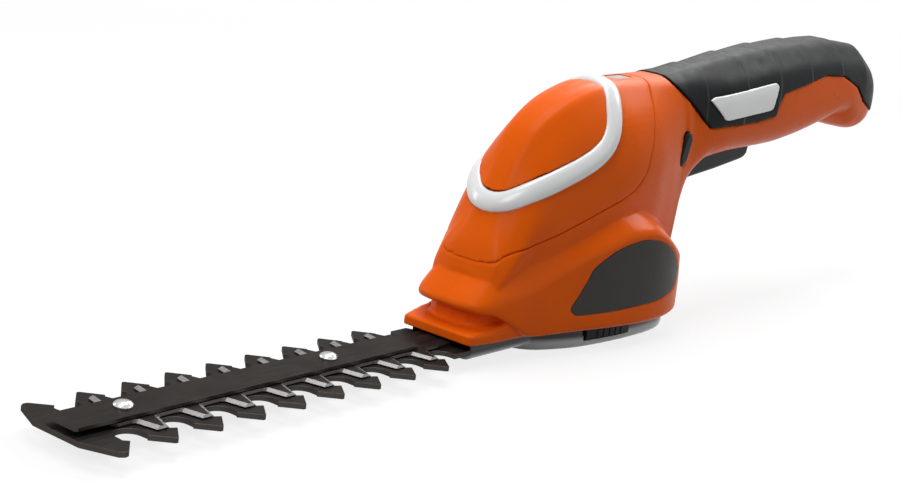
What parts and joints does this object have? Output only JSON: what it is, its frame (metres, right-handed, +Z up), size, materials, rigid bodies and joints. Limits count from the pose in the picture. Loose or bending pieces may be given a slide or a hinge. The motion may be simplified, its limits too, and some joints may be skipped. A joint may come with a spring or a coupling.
{
  "type": "cordless shrub shears",
  "caption": "One-hand cordless shrub shears: toothed blade under a motor head, soft-grip handle with trigger, and a quick-release blade cassette.",
  "frame": {"origin": "on the drive gear's axis, level with the flat underside of the blade cassette on which the tool rests", "axes": "-X along the blade to its tip, +X along the handle, +Y to the right of the tool, +Z up along the drive gear axis"},
  "size_m": [0.5365, 0.0726, 0.1262],
  "materials": {
    "orange_plastic": "satin",
    "white_plastic": "gloss",
    "smoked_lens": "smoked, gloss",
    "black_rubber": "matte",
    "grey_plastic": "satin",
    "bright_steel": "polished",
    "dark_steel": "oiled",
    "gloss_black": "gloss",
    "gear_steel": "machined",
    "copper_alloy": "machined",
    "cell_wrap": "shrink wrap",
    "board_green": "solder resist"
  },
  "bodies": {
    "casing": {"housing_left": "orange_plastic", "housing_right": "orange_plastic", "motor_cover": "orange_plastic", "cover_dome": "orange_plastic", "accent_band": "white_plastic", "status_window": "smoked_lens", "grip_left": "black_rubber", "grip_right": "black_rubber", "badge_plate": "white_plastic", "side_inlay": "grey_plastic", "housing_screw_1": "bright_steel", "housing_screw_2": "bright_steel", "housing_screw_3": "bright_steel", "housing_screw_4": "bright_steel", "housing_screw_5": "bright_steel", "housing_screw_6": "bright_steel", "lower_comb": "dark_steel", "support_bar": "dark_steel", "rivet_front": "bright_steel", "rivet_rear": "bright_steel", "blade_cassette": "gloss_black", "comb_screw_left": "bright_steel", "comb_screw_right": "bright_steel", "gear_axle": "bright_steel", "gear_plate": "bright_steel", "motor_can": "gear_steel", "motor_endcap": "gloss_black", "motor_screw_left": "bright_steel", "motor_screw_right": "bright_steel", "trigger_pin": "bright_steel", "switch_body": "gloss_black", "battery_cell_front": "cell_wrap", "battery_cell_rear": "cell_wrap", "cell_link": "bright_steel", "charge_board": "board_green", "charge_socket": "gloss_black"},
    "cutter": {"cutter_blade": "dark_steel"},
    "crank": {"drive_gear": "gear_steel", "gear_bush": "copper_alloy", "crank_pin": "bright_steel", "crank_roller": "bright_steel"},
    "rotor": {"motor_shaft": "bright_steel", "pinion": "gear_steel"},
    "trigger_lever": {"trigger": "black_rubber"},
    "plunger": {"switch_plunger": "white_plastic"},
    "lock_off": {"lock_off_button": "black_rubber"},
    "release_left": {"release_button_left": "grey_plastic"},
    "release_right": {"release_button_right": "grey_plastic"}
  },
  "joints": [
    {"name": "cutter_slide", "type": "slide", "parent": "casing", "child": "cutter", "axis": [-1, 0, 0], "range_m": [0, 0.012]},
    {"name": "crank_spin", "type": "hinge", "parent": "casing", "child": "crank", "pos_m": [0, 0, 0.02], "axis": [0, 0, 1], "continuous": true},
    {"name": "motor_spin", "type": "hinge", "parent": "casing", "child": "rotor", "pos_m": [0.027, 0, 0.04], "axis": [0, 0, 1], "continuous": true},
    {"name": "trigger_pivot", "type": "hinge", "parent": "casing", "child": "trigger_lever", "pos_m": [0.091, 0, 0.074], "axis": [0, -1, 0], "range_deg": [0, 6], "stiffness_Nm_per_rad": 1, "springref_deg": -6.88},
    {"name": "switch_plunger_press", "type": "slide", "parent": "casing", "child": "plunger", "axis": [0, 0, 1], "range_m": [0, 0.0032]},
    {"name": "lock_off_slide", "type": "slide", "parent": "casing", "child": "lock_off", "axis": [0, 1, 0], "range_m": [-0.0025, 0.0025], "stiffness_N_per_m": 400},
    {"name": "release_left_slide", "type": "slide", "parent": "casing", "child": "release_left", "axis": [0, 1, 0], "range_m": [0, 0.0025], "stiffness_N_per_m": 900, "springref_m": -0.002},
    {"name": "release_right_slide", "type": "slide", "parent": "casing", "child": "release_right", "axis": [0, -1, 0], "range_m": [0, 0.0025], "stiffness_N_per_m": 900, "springref_m": -0.002}
  ],
  "couplings": [
    {"joint": "crank_spin", "follows": "cutter_slide", "rad_per_m": 261.8},
    {"joint": "motor_spin", "follows": "cutter_slide", "rad_per_m": -1309},
    {"joint": "switch_plunger_press", "follows": "trigger_pivot", "m_per_rad": 0.03}
  ]
}
